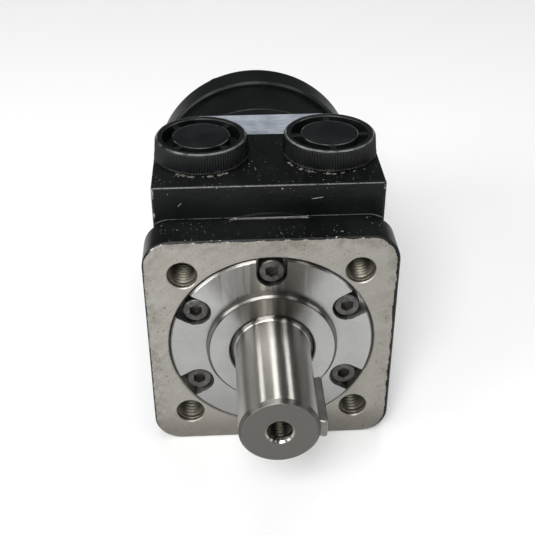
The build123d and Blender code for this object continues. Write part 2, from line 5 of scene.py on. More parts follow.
import bmesh
import bpy
from mathutils import Matrix, Vector


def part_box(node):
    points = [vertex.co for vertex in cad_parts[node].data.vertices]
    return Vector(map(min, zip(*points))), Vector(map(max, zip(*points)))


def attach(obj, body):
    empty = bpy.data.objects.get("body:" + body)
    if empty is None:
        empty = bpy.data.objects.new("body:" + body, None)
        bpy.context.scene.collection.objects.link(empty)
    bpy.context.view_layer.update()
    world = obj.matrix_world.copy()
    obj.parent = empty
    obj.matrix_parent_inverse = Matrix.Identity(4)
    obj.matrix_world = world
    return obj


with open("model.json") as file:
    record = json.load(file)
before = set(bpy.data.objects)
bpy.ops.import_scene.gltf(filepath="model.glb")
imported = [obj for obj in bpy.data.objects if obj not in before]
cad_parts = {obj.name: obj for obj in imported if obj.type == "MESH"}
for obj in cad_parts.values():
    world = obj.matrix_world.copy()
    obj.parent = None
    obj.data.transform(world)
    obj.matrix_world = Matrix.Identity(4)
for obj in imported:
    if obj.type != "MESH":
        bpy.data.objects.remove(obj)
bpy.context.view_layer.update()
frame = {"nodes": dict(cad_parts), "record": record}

MM = 0.001
INCH = 25.4 * MM


# ---- places read from the frame --------------------------------------------------------

mounts = {mount["name"]: mount for mount in frame["record"]["mounts"]}
bolt_circle = mounts["flange_bolts"]["dims"]["pcd_mm"] * MM / 2
flange_hole = mounts["flange_bolts"]["dims"]["hole_r_mm"] * MM
flange_offset = bolt_circle / math.sqrt(2)
end_hole = mounts["shaft_end_thread"]["dims"]["r_mm"] * MM
port_hole = mounts["work_port_left"]["dims"]["r_mm"] * MM
port_places = [Vector(mounts[name]["pos_m"]) for name in ("work_port_left", "work_port_right")]
block_top = port_places[0].z
shaft_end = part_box("output_shaft")[0][1]
key_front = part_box("shaft_key")[0][1]
cap_low, cap_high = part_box("port_cap_left")
foot_radius = (cap_high[0] - cap_low[0]) / 2
rear_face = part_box("end_cap")[1][1]
end_cap_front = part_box("end_cap")[0][1]
end_cap_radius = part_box("end_cap")[1][0]


# ---- places that the frame doesn't state, as they stand in the CAD ---------------------

flange_half, flange_corner, flange_back = 42 * MM, 9.5 * MM, 14 * MM
block_half, block_front = 38.5 * MM, 14.6 * MM
cap_disc, cap_rim = 9.8 * MM, 15.8 * MM
shaft_radius = 12.7 * MM


# ---- shader helper ---------------------------------------------------------------------

class Shader:
    """A material being built, with short ways to add and join its nodes."""

    def __init__(self, name, **surface):
        self.material = bpy.data.materials.new(name)
        self.material.use_nodes = True
        self.tree = self.material.node_tree
        self.tree.nodes.clear()
        self.surface = self.add("ShaderNodeBsdfPrincipled")
        output = self.add("ShaderNodeOutputMaterial")
        self.join(self.surface.outputs["BSDF"], output.inputs["Surface"])
        self.place = self.add("ShaderNodeTexCoord").outputs["Object"]
        axes = self.add("ShaderNodeSeparateXYZ")
        self.join(self.place, axes.inputs[0])
        self.x, self.y, self.z = axes.outputs
        for socket, value in surface.items():
            self.surface.inputs[socket.replace("_", " ")].default_value = value

    def add(self, kind, **settings):
        """New node of a kind, with its settings."""
        node = self.tree.nodes.new(kind)
        for name, value in settings.items():
            setattr(node, name, value)
        return node

    def join(self, source, target):
        """Links a socket, or sets a plain value, into an input."""
        if isinstance(source, bpy.types.NodeSocket):
            self.tree.links.new(source, target)
        else:
            target.default_value = source

    def math(self, operation, a, b=0.0):
        """Result of a maths node on one or two values."""
        node = self.add("ShaderNodeMath", operation=operation)
        self.join(a, node.inputs[0])
        self.join(b, node.inputs[1])
        return node.outputs[0]

    def step(self, value, low, high):
        """Smooth change from 0 to 1 as value goes from low to high; low may be the larger one."""
        node = self.add("ShaderNodeMapRange", interpolation_type="SMOOTHSTEP")
        self.join(value, node.inputs["Value"])
        node.inputs["From Min"].default_value = low
        node.inputs["From Max"].default_value = high
        return node.outputs["Result"]

    def between(self, value, rise, full, fade, fall):
        """1 from full to fade, 0 before rise and after fall."""
        return self.both(self.step(value, rise, full), self.step(value, fall, fade))

    def stretched(self, scale):
        """Object place scaled differently along X, Y and Z."""
        node = self.add("ShaderNodeVectorMath", operation="MULTIPLY")
        self.join(self.place, node.inputs[0])
        node.inputs[1].default_value = scale
        return node.outputs[0]

    def scaled(self, value, factor):
        """Value times a number or another value."""
        return self.math("MULTIPLY", value, factor)

    def vector(self, a, b, c):
        """Vector of three numbers or sockets."""
        node = self.add("ShaderNodeCombineXYZ")
        for value, target in zip((a, b, c), node.inputs):
            self.join(value, target)
        return node.outputs[0]

    def either(self, *masks):
        """Largest of several masks."""
        result = masks[0]
        for mask in masks[1:]:
            result = self.math("MAXIMUM", result, mask)
        return result

    def both(self, *masks):
        """Product of several masks."""
        result = masks[0]
        for mask in masks[1:]:
            result = self.math("MULTIPLY", result, mask)
        return result

    def inverse(self, mask):
        """1 where the mask is 0, and the other way round."""
        return self.math("SUBTRACT", 1.0, mask)

    def noise(self, scale, detail=3.0, rough=0.55, vector=None, seed=0.0):
        """Noise over the object's place, or over another vector; the seed picks the pattern."""
        node = self.add("ShaderNodeTexNoise", noise_dimensions="4D")
        self.join(vector or self.place, node.inputs["Vector"])
        node.inputs["W"].default_value = seed
        node.inputs["Scale"].default_value = scale
        node.inputs["Detail"].default_value = detail
        node.inputs["Roughness"].default_value = rough
        return node.outputs["Fac"]

    def blend(self, amount, first, second):
        """Colour mix; first and second are colours or sockets."""
        node = self.add("ShaderNodeMix", data_type="RGBA")
        self.join(amount, node.inputs["Factor"])
        for colour, target in ((first, node.inputs[6]), (second, node.inputs[7])):
            is_socket = isinstance(colour, bpy.types.NodeSocket)
            self.join(colour if is_socket else (*colour, 1), target)
        return node.outputs[2]

    def lerp(self, amount, first, second):
        """Number mix; first and second are numbers or sockets."""
        node = self.add("ShaderNodeMix", data_type="FLOAT")
        self.join(amount, node.inputs["Factor"])
        self.join(first, node.inputs[2])
        self.join(second, node.inputs[3])
        return node.outputs[0]

    def radius(self, first, second, first_centre=0.0, second_centre=0.0):
        """Distance from an axis, from the two coordinates square to it."""
        a = self.math("SUBTRACT", first, first_centre)
        b = self.math("SUBTRACT", second, second_centre)
        squares = self.math("ADD", self.math("MULTIPLY", a, a), self.math("MULTIPLY", b, b))
        return self.math("SQRT", squares)

    def bumps(self, rounding, *layers):
        """Softens sharp edges over a rounding, then stacks (height, strength, distance) layers."""
        bevel = self.add("ShaderNodeBevel", samples=4)
        bevel.inputs["Radius"].default_value = rounding
        normal = bevel.outputs["Normal"]
        for height, strength, distance in layers:
            node = self.add("ShaderNodeBump")
            node.inputs["Strength"].default_value = strength
            node.inputs["Distance"].default_value = distance
            self.join(height, node.inputs["Height"])
            self.join(normal, node.inputs["Normal"])
            normal = node.outputs["Normal"]
        self.join(normal, self.surface.inputs["Normal"])

    def corner(self, first_gap, second_gap, width):
        """1 where two faces meet, from the distances to both of them."""
        reach = self.math("ADD", self.math("ABSOLUTE", first_gap), self.math("ABSOLUTE", second_gap))
        return self.step(reach, width, 0.55 * width)

    def stroke(self, along, off, centre, slope, half_length, half_width):
        """Short scratch on a face, from the face's two coordinates."""
        run = self.math("SUBTRACT", along, centre[0])
        aside = self.math("SUBTRACT", self.math("SUBTRACT", off, centre[1]), self.scaled(run, slope))
        waver = self.math("SUBTRACT", self.noise(700, seed=centre[0] / MM), 0.5)
        wander = self.scaled(waver, 3 * half_width)
        aside = self.math("ABSOLUTE", self.math("ADD", aside, wander))
        within = self.step(self.math("ABSOLUTE", run), half_length, 0.6 * half_length)
        return self.both(within, self.step(aside, half_width, 0.4 * half_width))

    def out(self, socket, value):
        """Links a value into the surface's named input."""
        self.join(value, self.surface.inputs[socket])

    def turn_marks(self, axis, anisotropy):
        """Reflections drawn out by turning or grinding marks round an axis."""
        tangent = self.add("ShaderNodeTangent", direction_type="RADIAL", axis=axis)
        self.surface.inputs["Anisotropic"].default_value = anisotropy
        self.surface.inputs["Anisotropic Rotation"].default_value = 0.25
        self.join(tangent.outputs[0], self.surface.inputs["Tangent"])


# ---- materials -------------------------------------------------------------------------

def steel_marks(s, ring_pitch, seed):
    """Height of fine turned rings, slightly uneven from place to place."""
    rings = s.math("ADD", s.radius(s.x, s.z), s.scaled(s.noise(60, seed=seed), 0.6 * MM))
    return s.math("SINE", s.scaled(rings, 2 * math.pi / ring_pitch))


def paint_layers(s, seed):
    """Colour, roughness and height of thick black machine paint."""
    cloud = s.noise(45, 4, seed=seed)
    colour = s.blend(s.step(cloud, 0.35, 0.7), (0.0020, 0.0027, 0.0025), (0.0046, 0.0057, 0.0055))
    haze = s.step(s.noise(120, 5, 0.65, seed=seed + 3), 0.55, 0.8)
    colour = s.blend(s.scaled(haze, 0.3), colour, (0.014, 0.016, 0.015))
    roughness = s.lerp(s.step(cloud, 0.3, 0.75), 0.27, 0.42)
    lumps = s.scaled(s.noise(170, 3, seed=seed + 2), 2.5)
    s.surface.inputs["Specular IOR Level"].default_value = 0.16
    return colour, roughness, s.math("ADD", s.noise(700, 3, seed=seed + 1), lumps)


def specks(s, seed, threshold):
    """Mask of tiny specks in loose groups; a higher threshold leaves fewer."""
    grains = s.step(s.noise(1100, 2, 0.5, seed=seed), threshold, threshold + 0.025)
    groups = s.step(s.noise(70, 3, seed=seed + 1), 0.42, 0.6)
    return s.both(grains, groups)


def outline_gap(s):
    """Distance inwards from the square flange's rounded outline."""
    straight = flange_half - flange_corner
    beyond = [s.math("MAXIMUM", s.math("SUBTRACT", s.math("ABSOLUTE", axis), straight), 0.0)
              for axis in (s.x, s.z)]
    return s.math("SUBTRACT", flange_corner, s.radius(*beyond))


def casting_wear_and_highlight(s, gap):
    """Bare and rubbed places on the casting's paint, mostly along its edges, and a painted highlight on
    the barrel just behind the flange.
    """
    from_side = s.math("SUBTRACT", block_half, s.math("ABSOLUTE", s.x))
    from_top = s.math("SUBTRACT", block_top, s.z)
    from_front = s.math("SUBTRACT", s.y, block_front)
    from_back = s.math("SUBTRACT", flange_back, s.y)
    over_flange = s.math("SUBTRACT", s.z, flange_half)
    rubbed = s.noise(260, 5, 0.65, seed=5.0)
    often, seldom = s.step(rubbed, 0.36, 0.50), s.step(rubbed, 0.52, 0.62)

    block_edges = s.either(
        s.both(s.corner(from_top, from_front, 0.5 * MM), often),
        s.scaled(s.both(s.corner(from_top, from_side, 0.6 * MM), seldom), 0.7),
        s.scaled(s.both(s.corner(from_front, from_side, 1.0 * MM), seldom,
                        s.step(over_flange, 0.0, 2 * MM)), 0.8))
    patchy = s.either(s.scaled(often, 0.35), s.step(s.noise(420, 4, 0.7, seed=6.5), 0.54, 0.62))
    behind_flange = s.both(s.corner(from_back, gap, 0.95 * MM), patchy,
                           s.between(over_flange, -12 * MM, -6 * MM, 0.05 * MM, 0.15 * MM))
    # Painted highlight: a light strip, in patches, on the barrel's top where it shows just above the
    # flange behind its back face.
    painted_crescent_highlight = s.both(s.step(s.math("ABSOLUTE", s.x), 14 * MM, 5 * MM),
                      s.between(over_flange, -0.2 * MM, 0.0, 0.1 * MM, 0.35 * MM),
                      s.between(from_back, -0.4 * MM, -0.2 * MM, 0.05 * MM, 0.25 * MM), often)

    long_scratch = s.stroke(s.x, s.z, (15.8 * MM, 48.6 * MM), 0.12, 2.2 * MM, 0.17 * MM)
    short_scratch = s.stroke(s.x, s.z, (-29.4 * MM, 47.4 * MM), 0.9, 0.7 * MM, 0.22 * MM)
    on_front = s.both(s.step(from_front, 0.5 * MM, 0.3 * MM), s.step(over_flange, 0.5 * MM, 1.5 * MM))
    scratches = s.both(s.either(long_scratch, s.scaled(short_scratch, 0.7)), on_front)

    block_roof = s.step(from_top, 3 * MM, 2 * MM)
    flange_roof = s.both(s.step(over_flange, -1.5 * MM, -0.5 * MM), s.step(from_back, 0.0, 0.5 * MM))
    dusty = s.both(s.either(block_roof, flange_roof), specks(s, 17.0, 0.665))
    return s.either(block_edges, behind_flange, painted_crescent_highlight, scratches,
                    s.scaled(specks(s, 14.0, 0.72), 0.5), dusty)


def bare_places(s, gap):
    """Masks of the machined surfaces left bare: all of them, and the flange holes' walls alone."""
    across_x, across_z = s.math("ABSOLUTE", s.x), s.math("ABSOLUTE", s.z)
    around = s.radius(s.x, s.z)
    # Paint has strayed over the edge of the mounting face, furthest on the right.
    widest_spray = s.lerp(s.step(s.x, 34 * MM, 40 * MM), 1.7 * MM, 2.9 * MM)
    spray_reach = s.scaled(s.noise(330, 5, 0.7, seed=9.0), widest_spray)
    overspray = s.step(s.math("SUBTRACT", gap, spray_reach), -0.25 * MM, -0.45 * MM)
    front = s.both(s.step(s.y, 0.62 * MM, 0.52 * MM), s.inverse(overspray))
    cover_seat = s.both(s.step(around, 36.6 * MM, 36.4 * MM), s.step(s.y, 9.6 * MM, 9.4 * MM))
    from_hole = s.radius(across_x, across_z, flange_offset, flange_offset)
    hole_wall = s.both(s.step(from_hole, flange_hole + 0.35 * MM, flange_hole + 0.2 * MM),
                       s.between(s.y, 0.15 * MM, 0.35 * MM, 16.5 * MM, 17 * MM))
    from_port = s.radius(across_x, s.y, port_places[1].x, port_places[1].y)
    port = s.both(s.step(from_port, 13.1 * MM, 13.0 * MM), s.step(s.z, 30 * MM, 31 * MM))
    bore = s.step(around, 23.2 * MM, 23.1 * MM)
    return s.either(front, cover_seat, hole_wall, port, bore), hole_wall


def swept_marks(s, centre, finest, slowest, seed):
    """Marks left by a cutter or scraper that swings about a point in the mounting face's plane."""
    arc = s.scaled(s.radius(s.x, s.z, *centre), finest)
    drift = s.vector(arc, s.scaled(s.x, slowest), s.scaled(s.z, slowest))
    return s.noise(1.0, 3, 0.6, vector=drift, seed=seed)


def machined_casting(s, gap, hole_wall):
    """Colour, roughness, cutter marks and pits of the casting's machined, stained steel, with painted
    shade on its right side and towards its bottom.
    """
    blotch = s.noise(95, 5, 0.6, seed=6.0)
    cutter = swept_marks(s, (75 * MM, -95 * MM), 1500, 40, 3.0)
    scrape = s.step(swept_marks(s, (-80 * MM, -70 * MM), 1100, 90, 4.0), 0.64, 0.74)
    pitted = s.math("ADD", s.noise(60, 3, seed=7.5), s.scaled(s.step(gap, 9 * MM, 1 * MM), 0.10))
    pits = s.both(s.step(s.noise(1000, 2, 0.5, seed=7.0), 0.63, 0.68), s.step(pitted, 0.46, 0.58))
    grain = s.step(s.noise(1500, 3, 0.6, seed=7.8), 0.54, 0.64)
    stain = s.step(s.noise(55, 4, 0.7, seed=8.0), 0.50, 0.70)
    grime = s.both(s.step(gap, 7 * MM, 0.5 * MM), s.step(s.noise(240, 5, 0.7, seed=8.5), 0.42, 0.62))
    # Painted shade: the mounting face is darkened towards the bottom, where it mirrors the shaded floor
    # just in front of it.
    low_down = s.step(s.z, -26 * MM, -39 * MM)
    # Painted shade: the mounting face is darkened towards its right side, away from the main light.
    painted_shade_right = s.step(s.x, 5 * MM, 40 * MM)
    steel = s.blend(s.step(blotch, 0.35, 0.7), (0.28, 0.266, 0.238), (0.36, 0.343, 0.315))
    tones = (
        (s.step(cutter, 0.35, 0.65), 0.2, (0.47, 0.455, 0.425)),
        (scrape, 0.35, (0.19, 0.175, 0.155)),
        (grain, 0.35, (0.19, 0.175, 0.15)),
        (stain, 0.4, (0.29, 0.255, 0.195)),
        (painted_shade_right, 0.30, (0.22, 0.21, 0.185)),
        (grime, 0.5, (0.13, 0.12, 0.10)),
        (low_down, 0.7, (0.15, 0.14, 0.12)),
        (pits, 0.85, (0.05, 0.045, 0.038)),
        (hole_wall, 1.0, (0.105, 0.095, 0.076)),
    )
    for mask, amount, tone in tones:
        steel = s.blend(s.scaled(mask, amount), steel, tone)
    return steel, s.lerp(s.step(blotch, 0.3, 0.75), 0.38, 0.52), cutter, pits


def casting_material():
    """Black painted casting whose mounting face, bores and ports are bare machined steel."""
    s = Shader("casting_black_paint")
    paint, paint_rough, paint_height = paint_layers(s, 1.0)
    gap = outline_gap(s)
    wear_and_highlight = casting_wear_and_highlight(s, gap)
    bare, hole_wall = bare_places(s, gap)
    steel, steel_rough, cutter, pits = machined_casting(s, gap, hole_wall)

    # Rubbed paint and the painted highlight both show as light grey.
    paint = s.blend(s.scaled(wear_and_highlight, 0.8), paint, (0.42, 0.42, 0.40))
    s.out("Base Color", s.blend(bare, paint, steel))
    s.out("Metallic", s.either(s.scaled(bare, 0.95), s.scaled(wear_and_highlight, 0.4)))
    s.out("Roughness", s.lerp(bare, paint_rough, steel_rough))
    rings = s.scaled(steel_marks(s, 0.55 * MM, 4.0), 0.15)
    s.bumps(0.35 * MM,
            (s.both(paint_height, s.inverse(bare)), 0.5, 0.15 * MM),
            (s.both(bare, s.math("ADD", cutter, rings)), 0.2, 0.03 * MM),
            (s.inverse(s.either(bare, wear_and_highlight)), 0.6, 0.08 * MM),
            (s.inverse(pits), 0.4, 0.05 * MM))
    return s.material


def stack_material():
    """Black paint over the turned parts behind the casting."""
    s = Shader("stack_black_paint")
    colour, roughness, height = paint_layers(s, 21.0)
    around = s.radius(s.x, s.z)
    rim = s.corner(s.math("SUBTRACT", s.y, end_cap_front),
                   s.math("SUBTRACT", end_cap_radius, around), 0.9 * MM)
    worn = s.both(rim, s.step(s.noise(200, 5, 0.65, seed=25.0), 0.5, 0.62))
    worn = s.either(s.scaled(worn, 0.5), s.scaled(specks(s, 26.0, 0.71), 0.6))
    s.out("Base Color", s.blend(s.scaled(worn, 0.7), colour, (0.22, 0.22, 0.21)))
    s.out("Metallic", s.scaled(worn, 0.5))
    s.out("Roughness", roughness)
    feed = 0.6 * MM
    turned = s.math("SINE", s.scaled(s.y, 2 * math.pi / feed))
    s.bumps(0.5 * MM, (height, 0.45, 0.12 * MM), (turned, 0.08, 0.03 * MM))
    return s.material


def turned_steel_material():
    """Bright lathe-turned face with rings and a brushed sheen that runs outwards, with painted reflection
    above the shaft and painted shade low down and on its chamfers.
    """
    s = Shader("turned_steel", Metallic=1.0)
    blotch = s.noise(80, 5, 0.6, seed=31.0)
    around = s.radius(s.x, s.z)
    colour = s.blend(s.step(blotch, 0.35, 0.7), (0.335, 0.335, 0.329), (0.39, 0.39, 0.383))
    ring_tone = s.noise(1.0, 3, 0.6, vector=s.vector(s.scaled(around, 2600), 0.0, 0.0), seed=36.0)
    colour = s.blend(s.scaled(s.step(ring_tone, 0.5, 0.75), 0.28), colour, (0.31, 0.30, 0.285))
    angle = s.math("ARCTAN2", s.x, s.z)
    reflection_streaks = s.noise(1.0, 3, 0.6, vector=s.vector(s.scaled(s.x, 210), s.scaled(angle, 1.2), 0.0), seed=39.0)
    # Painted reflection: the face is darkened in a sector above the shaft, most of all close to the pilot,
    # with dark streaks across it, where it mirrors something dark.
    reflection_sector_centre = -0.08
    above = s.step(s.math("ABSOLUTE", s.math("SUBTRACT", angle, reflection_sector_centre)), 0.75, 0.35)
    near = s.step(around, 24 * MM, 21 * MM)
    colour = s.blend(s.scaled(above, 0.6), colour, (0.17, 0.161, 0.146))
    colour = s.blend(s.both(above, near, 0.55), colour, (0.07, 0.065, 0.056))
    colour = s.blend(s.scaled(s.both(s.step(reflection_streaks, 0.46, 0.54), above), 0.7), colour, (0.10, 0.09, 0.075))
    # Painted shade: the face is darkened towards the bottom, where it mirrors the shaded floor just in
    # front of it.
    low_down = s.step(s.z, -8 * MM, -33 * MM)
    colour = s.blend(s.scaled(low_down, 0.6), colour, (0.24, 0.238, 0.232))
    # Painted shade: the cover's and the pilot's chamfers are darkened to dim the highlights on them.
    cover_edge = s.step(around, 34.15 * MM, 34.3 * MM)
    pilot_edge = s.between(around, 21.2 * MM, 21.4 * MM, 22.4 * MM, 22.5 * MM)
    colour = s.blend(s.either(cover_edge, pilot_edge), colour, (0.14, 0.136, 0.128))
    # Painted shade: a dark ring along the inner edge of the pilot's chamfer.
    pilot_line = s.between(around, 21.15 * MM, 21.3 * MM, 21.5 * MM, 21.65 * MM)
    colour = s.blend(s.scaled(pilot_line, 0.75), colour, (0.04, 0.037, 0.032))
    dots = s.both(s.step(s.noise(1300, 2, 0.5, seed=37.0), 0.70, 0.75),
                  s.step(s.noise(70, 3, seed=38.0), 0.48, 0.58))
    s.out("Base Color", s.blend(s.scaled(dots, 0.8), colour, (0.06, 0.055, 0.045)))
    s.out("Roughness", s.lerp(s.step(blotch, 0.3, 0.75), 0.27, 0.32))
    s.turn_marks("Y", 0.85)
    s.bumps(0.12 * MM,
            (steel_marks(s, 0.42 * MM, 33.0), 0.08, 0.012 * MM),
            (s.inverse(dots), 0.2, 0.02 * MM))
    return s.material


def ground_steel_material():
    """Ground shaft: fine marks round it, lengthwise scratches, nicks, and a rough sawn end; painted shade
    darkens that end, its chamfers, the shoulder and the end hole.
    """
    s = Shader("ground_steel", Metallic=1.0)
    blotch = s.noise(45, 3, 0.5, seed=41.0)
    colour = s.blend(s.step(blotch, 0.3, 0.7), (0.33, 0.316, 0.295), (0.38, 0.368, 0.348))
    grind = s.noise(1.0, 2, 0.6, vector=s.stretched((25, 2400, 25)), seed=45.0)
    colour = s.blend(s.scaled(s.step(grind, 0.5, 0.75), 0.18), colour, (0.22, 0.21, 0.195))
    scratch = s.step(s.noise(1.0, 2, 0.5, vector=s.stretched((900, 70, 900)), seed=43.0), 0.72, 0.77)
    rubbed = s.both(scratch, s.step(s.noise(60, 3, seed=46.0), 0.5, 0.62))
    nick = s.both(s.step(s.noise(900, 2, 0.5, seed=44.0), 0.72, 0.76),
                  s.step(s.noise(90, 3, seed=47.0), 0.5, 0.6))
    colour = s.blend(s.scaled(nick, 0.7), colour, (0.10, 0.09, 0.08))
    around = s.radius(s.x, s.z)
    end_face = s.step(s.y, shaft_end + 0.14 * MM, shaft_end + 0.06 * MM)
    # Painted shade: the end face gets a dark tone, with its facing rings, where it mirrors the dark floor
    # in front.
    end_rings = s.noise(1.0, 3, 0.6, vector=s.vector(s.scaled(around, 2400), 0.0, 0.0), seed=48.0)
    painted_end_shade = s.blend(s.step(end_rings, 0.35, 0.65), (0.112, 0.107, 0.099), (0.124, 0.119, 0.110))
    colour = s.blend(end_face, colour, painted_end_shade)
    # Painted shade: the end chamfer and the shoulder are darkened to dim the highlights on them.
    end_chamfer = s.both(s.step(s.y, shaft_end + 1.5 * MM, shaft_end + 1.1 * MM), s.inverse(end_face),
                         s.step(around, shaft_radius - 1.4 * MM, shaft_radius - 1.2 * MM))
    shoulder = s.step(s.y, -3.6 * MM, -3.2 * MM)
    colour = s.blend(s.either(end_chamfer, shoulder), colour, (0.11, 0.105, 0.095))
    # Painted shade: the inside of the end hole is darkened.
    in_hole = s.both(s.step(around, end_hole + 0.15 * MM, end_hole + 0.05 * MM),
                     s.step(s.y, shaft_end + 0.6 * MM, shaft_end + 1.4 * MM))
    s.out("Base Color", s.blend(in_hole, colour, (0.04, 0.035, 0.028)))
    s.out("Roughness", s.lerp(s.either(end_face, end_chamfer), s.lerp(rubbed, 0.28, 0.38), 0.44))
    s.turn_marks("Y", 1.0)
    s.out("Anisotropic", s.inverse(s.either(end_face, in_hole)))
    feed = 0.16 * MM
    rings = s.math("SINE", s.scaled(s.math("ADD", s.y, around), 2 * math.pi / feed))
    handled = s.both(s.step(s.y, -34 * MM, -20 * MM), s.step(s.z, 7 * MM, 10 * MM))
    scraped = s.noise(1.0, 3, 0.6, vector=s.stretched((1100, 420, 1100)), seed=49.0)
    s.bumps(0.12 * MM,
            (rings, 0.05, 0.008 * MM),
            (scratch, 0.10, 0.01 * MM),
            (s.inverse(nick), 0.3, 0.03 * MM),
            (s.both(handled, s.step(scraped, 0.52, 0.62)), 0.25, 0.03 * MM))
    return s.material


def plain_material(name, low, high, rough_low, rough_high, seed, metallic=1.0):
    """Unpainted piece, steel unless told otherwise, with mottled tone and fine grain."""
    s = Shader(name, Metallic=metallic)
    blotch = s.noise(150, 5, 0.6, seed=seed)
    s.out("Base Color", s.blend(s.step(blotch, 0.35, 0.7), low, high))
    s.out("Roughness", s.lerp(s.step(s.noise(420, 4, seed=seed + 1), 0.3, 0.7), rough_low, rough_high))
    s.bumps(0.2 * MM, (s.noise(1600, 3, seed=seed + 2), 0.2, 0.02 * MM))
    return s.material


def key_steel_material():
    """Drawn key stock, dark on its sides and a little brighter on its front end."""
    s = Shader("key_steel", Metallic=1.0)
    blotch = s.noise(160, 5, 0.65, seed=51.0)
    drawn = s.noise(1.0, 3, 0.6, vector=s.stretched((1500, 50, 1500)), seed=52.0)
    sides = s.blend(s.step(blotch, 0.35, 0.7), (0.085, 0.084, 0.080), (0.125, 0.124, 0.118))
    sides = s.blend(s.scaled(s.step(drawn, 0.6, 0.75), 0.3), sides, (0.20, 0.195, 0.185))
    end = s.step(s.y, key_front + 0.95 * MM, key_front + 0.8 * MM)
    s.out("Base Color", s.blend(end, sides, (0.17, 0.163, 0.15)))
    s.out("Roughness", s.lerp(s.step(blotch, 0.3, 0.7), 0.32, 0.45))
    s.bumps(0.2 * MM, (blotch, 0.2, 0.02 * MM), (drawn, 0.15, 0.01 * MM))
    return s.material


def black_oxide_material():
    """Blackened screw, worn bright in small patches."""
    s = Shader("black_oxide", Metallic=0.85)
    blotch = s.noise(500, 4, 0.6, seed=61.0)
    colour = s.blend(s.step(blotch, 0.35, 0.7), (0.055, 0.053, 0.050), (0.115, 0.112, 0.106))
    worn = s.step(s.noise(800, 4, 0.7, seed=63.0), 0.6, 0.7)
    s.out("Base Color", s.blend(s.scaled(worn, 0.4), colour, (0.40, 0.385, 0.36)))
    s.out("Roughness", s.lerp(s.step(blotch, 0.3, 0.7), 0.30, 0.45))
    s.bumps(0.3 * MM, (s.noise(1800, 3, seed=62.0), 0.25, 0.03 * MM))
    return s.material


def rubber_material():
    """Matt black rubber with a fine moulded grain."""
    s = Shader("seal_rubber")
    dust = s.step(s.noise(500, 4, 0.6, seed=71.0), 0.5, 0.8)
    s.out("Base Color", s.blend(s.scaled(dust, 0.4), (0.008, 0.008, 0.008), (0.04, 0.04, 0.038)))
    s.out("Roughness", s.lerp(dust, 0.55, 0.8))
    s.bumps(0.1 * MM, (s.noise(2200, 3, seed=72.0), 0.3, 0.03 * MM))
    return s.material


def plastic_cap_material():
    """Black moulded cap: soft gloss, painted highlights along its edges, a little pale dust low on the
    skirt.
    """
    s = Shader("cap_plastic", Specular_IOR_Level=0.26)
    cloud = s.noise(110, 4, seed=81.0)
    colour = s.blend(s.step(cloud, 0.3, 0.7), (0.0018, 0.0023, 0.0025), (0.0040, 0.0048, 0.0051))
    from_axis = s.radius(s.math("ABSOLUTE", s.x), s.y, port_places[1].x, port_places[1].y)
    from_rim = s.math("SUBTRACT", cap_high[2], s.z)
    # Painted highlight: light lines, in patches, along the edges of the centre disc and the rim.
    disc_edge = s.corner(s.math("SUBTRACT", from_axis, cap_disc),
                         s.math("SUBTRACT", from_rim, 0.35 * MM), 0.26 * MM)
    rim_edge = s.corner(s.math("SUBTRACT", from_axis, cap_rim - 0.5 * MM), from_rim, 0.6 * MM)
    highlight_patches = s.step(s.noise(240, 3, 0.5, seed=82.0), 0.34, 0.62)
    edge_highlight = s.both(s.either(disc_edge, rim_edge), highlight_patches)
    colour = s.blend(s.scaled(edge_highlight, 0.75), colour, (0.17, 0.175, 0.175))
    low_down = s.step(s.z, block_top + 2.4 * MM, block_top + 0.3 * MM)
    dust = s.both(low_down, s.step(s.noise(330, 5, 0.7, seed=83.0), 0.5, 0.66))
    colour = s.blend(s.scaled(dust, 0.5), colour, (0.055, 0.050, 0.042))
    s.out("Base Color", colour)
    s.out("Roughness", s.lerp(s.step(cloud, 0.3, 0.7), 0.30, 0.44))
    s.bumps(0.28 * MM,
            (s.noise(900, 3, seed=84.0), 0.25, 0.03 * MM),
            (s.noise(160, 2, seed=85.0), 0.25, 0.1 * MM))
    return s.material


def label_material():
    """Silver-white film with faint grey bars where a plate would carry its data."""
    s = Shader("label_film", Specular_IOR_Level=0.4)
    cloud = s.noise(180, 4, seed=91.0)
    colour = s.blend(s.step(cloud, 0.3, 0.7), (0.21, 0.23, 0.262), (0.31, 0.333, 0.37))
    row_pitch = 3.2 * MM
    rows = s.math("SINE", s.scaled(s.y, 2 * math.pi / row_pitch))
    strokes = s.step(s.noise(1.0, 2, 0.5, vector=s.stretched((480, 90, 90)), seed=92.0), 0.46, 0.56)
    bars = s.both(s.step(rows, 0.45, 0.75), strokes)
    colour = s.blend(s.scaled(bars, 0.4), colour, (0.13, 0.155, 0.215))
    rubbed = s.step(s.noise(90, 5, 0.65, seed=93.0), 0.56, 0.75)
    s.out("Base Color", s.blend(s.scaled(rubbed, 0.3), colour, (0.22, 0.225, 0.23)))
    s.out("Roughness", s.lerp(s.step(cloud, 0.3, 0.7), 0.34, 0.5))
    s.bumps(0.05 * MM, (s.noise(120, 3, seed=94.0), 0.3, 0.1 * MM))
    return s.material


def dried_paint_material():
    """Crumbs of pale dried paint and dust."""
    s = Shader("dried_paint")
    mottle = s.noise(900, 4, 0.6, seed=101.0)
    s.out("Base Color", s.blend(s.step(mottle, 0.35, 0.65), (0.015, 0.014, 0.011), (0.13, 0.12, 0.095)))
    s.out("Roughness", s.lerp(s.step(mottle, 0.3, 0.7), 0.6, 0.85))
    s.bumps(0.05 * MM, (mottle, 0.4, 0.1 * MM))
    return s.material


